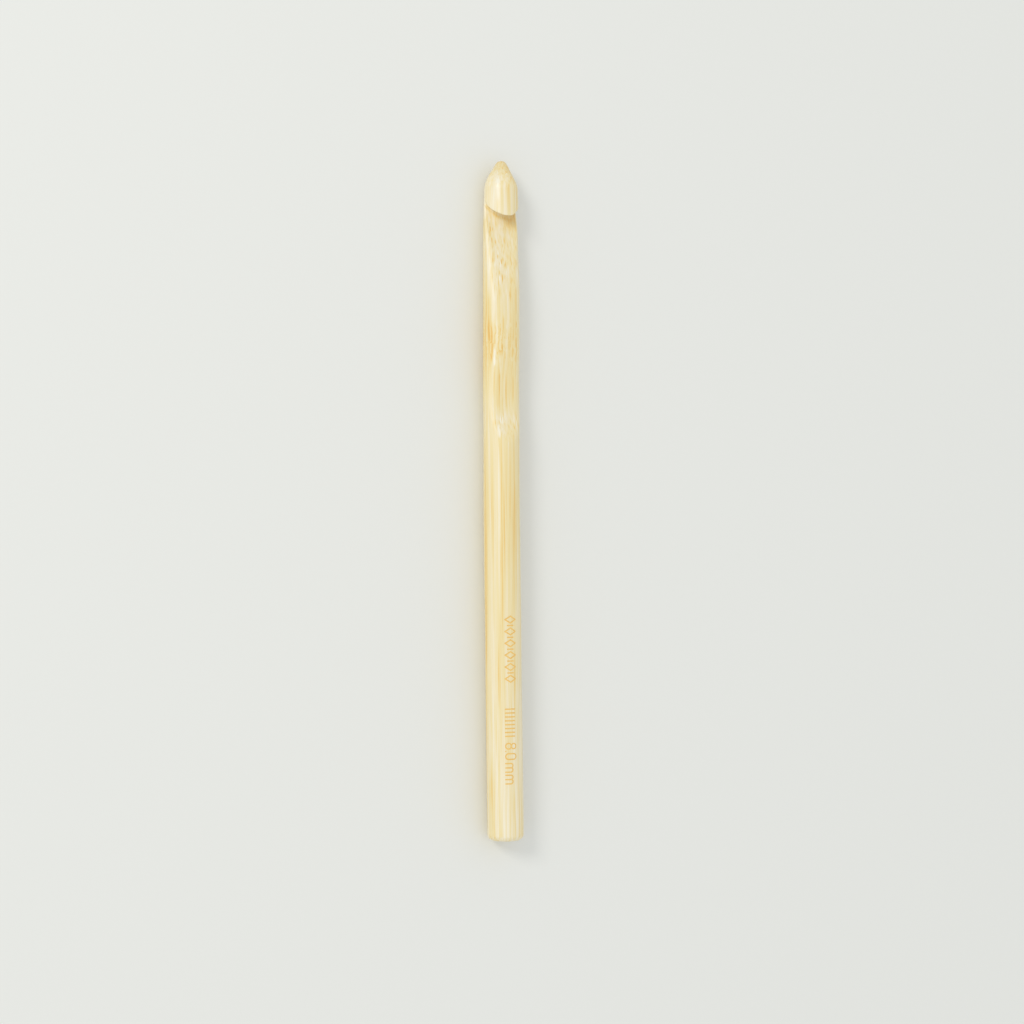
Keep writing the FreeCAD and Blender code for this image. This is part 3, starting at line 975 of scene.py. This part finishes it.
def scorched(name):
    """Two amber tones in fine fibres, with darker patches."""
    g = Graph(name)
    x, y, _ = g.millimetres()
    fibre = g.flat_noise(x, y, *SCORCH_FIBRE)
    patch = g.flat_noise(x, y, *SCORCH_PATCH)
    colour = g.blend(g.step(fibre, *PALER_FIBRES), DARKER_AMBER, PALER_AMBER)
    colour = g.blend(g.step(patch, *SINGED_PATCHES), colour, SINGED)
    g.dress({"Base Color": colour, "Roughness": g.step(fibre, *SCORCH_ROUGHNESS), "Specular IOR Level": 0.25})
    g.relief(fibre)
    return g.material


# ---------------------------------------------------------------------------
# Put the object together
# ---------------------------------------------------------------------------
stick = build_stick()
cut_grooves(stick, MARK_NODES)
stick.data.shade_smooth()
stick.data.set_sharp_from_angle(angle=SHARP_ANGLE)
smooth_around_grooves(stick)
stick.data.materials.clear()
stick.data.materials.append(bamboo("bamboo"))
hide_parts("hook_body")
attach(stick, "root")

scorch = scorched("scorched_bamboo")
for mark in MARK_NODES:
    for slot in bpy.data.objects[mark].material_slots:
        slot.link = "OBJECT"
        slot.material = scorch

# ---------------------------------------------------------------------------
# Floor, light and camera
# ---------------------------------------------------------------------------
FLOOR_SIZE = 3.0
FLOOR_COLOUR = srgb(236, 236, 231)
WORLD_COLOUR = (0.97, 0.99, 1.0, 1.0)
WORLD_STRENGTH = 0.82
KEY_ANGLE = math.radians(49.0)
KEY_LEAD = math.radians(23.0)
KEY_DISTANCE = 1.2
KEY_SIZE = 0.36
KEY_POWER = 3.5
KEY_COLOUR = (1.0, 0.985, 0.95)
TILT = math.radians(0.39)
FIELD = 226.2
LENS = 85.0
SENSOR = 36.0
AIM_RIGHT = 2.1
AIM_DOWN = 2.54
CLIP_START, CLIP_END = 0.01, 20.0


def lay_floor(lowest):
    """A plain pale floor at the object's lowest point."""
    edge = FLOOR_SIZE / 2
    corners = [(-edge, -edge, lowest), (edge, -edge, lowest), (edge, edge, lowest), (-edge, edge, lowest)]
    mesh = bpy.data.meshes.new("floor")
    mesh.from_pydata(corners, [], [(0, 1, 2, 3)])
    floor = bpy.data.objects.new("floor", mesh)
    bpy.context.collection.objects.link(floor)
    paper = Graph("floor")
    paper.dress({"Base Color": FLOOR_COLOUR, "Roughness": 0.9, "Specular IOR Level": 0.1})
    mesh.materials.append(paper.material)
    return floor


def light_room():
    """An even pale world and one soft key light from the upper left of the picture."""
    world = bpy.data.worlds.new("studio")
    bpy.context.scene.world = world
    world.use_nodes = True
    background = world.node_tree.nodes["Background"].inputs
    background["Color"].default_value = WORLD_COLOUR
    background["Strength"].default_value = WORLD_STRENGTH
    light = bpy.data.lights.new("key", "AREA")
    light.shape = "DISK"
    light.size = KEY_SIZE
    light.energy = KEY_POWER
    light.color = KEY_COLOUR
    lamp = bpy.data.objects.new("key", light)
    bpy.context.collection.objects.link(lamp)
    direction = Vector((math.sin(KEY_LEAD), math.sin(KEY_ANGLE) * math.cos(KEY_LEAD),
                        math.cos(KEY_ANGLE) * math.cos(KEY_LEAD))).normalized()
    lamp.location = direction * KEY_DISTANCE
    lamp.rotation_mode = "QUATERNION"
    lamp.rotation_quaternion = direction.to_track_quat("Z", "Y")


def set_camera():
    """Looks square on from the side that the throat leans to, turned by the stick's slight tilt."""
    towards = Vector((0.0, math.sin(VIEW_ROLL), math.cos(VIEW_ROLL)))
    square_right = Vector((0.0, -math.cos(VIEW_ROLL), math.sin(VIEW_ROLL)))
    square_up = Vector((1.0, 0.0, 0.0))
    right = math.cos(TILT) * square_right - math.sin(TILT) * square_up
    up = math.sin(TILT) * square_right + math.cos(TILT) * square_up
    middle = Vector((TIP_X - LENGTH / 2.0, 0.0, AXIS_Z))
    aim = middle + AIM_RIGHT * right - AIM_DOWN * up
    spot = (aim + towards * (FIELD * LENS / SENSOR)) * MM
    data = bpy.data.cameras.new("camera")
    data.lens = LENS
    data.sensor_width = SENSOR
    data.clip_start = CLIP_START
    data.clip_end = CLIP_END
    camera = bpy.data.objects.new("camera", data)
    bpy.context.collection.objects.link(camera)
    camera.matrix_world = Matrix((
        (right.x, up.x, towards.x, spot.x),
        (right.y, up.y, towards.y, spot.y),
        (right.z, up.z, towards.z, spot.z),
        (0.0, 0.0, 0.0, 1.0)))
    bpy.context.scene.camera = camera
    bpy.context.scene.view_settings.view_transform = "Standard"


floor = lay_floor(min(v.co.z for v in stick.data.vertices))
light_room()
set_camera()
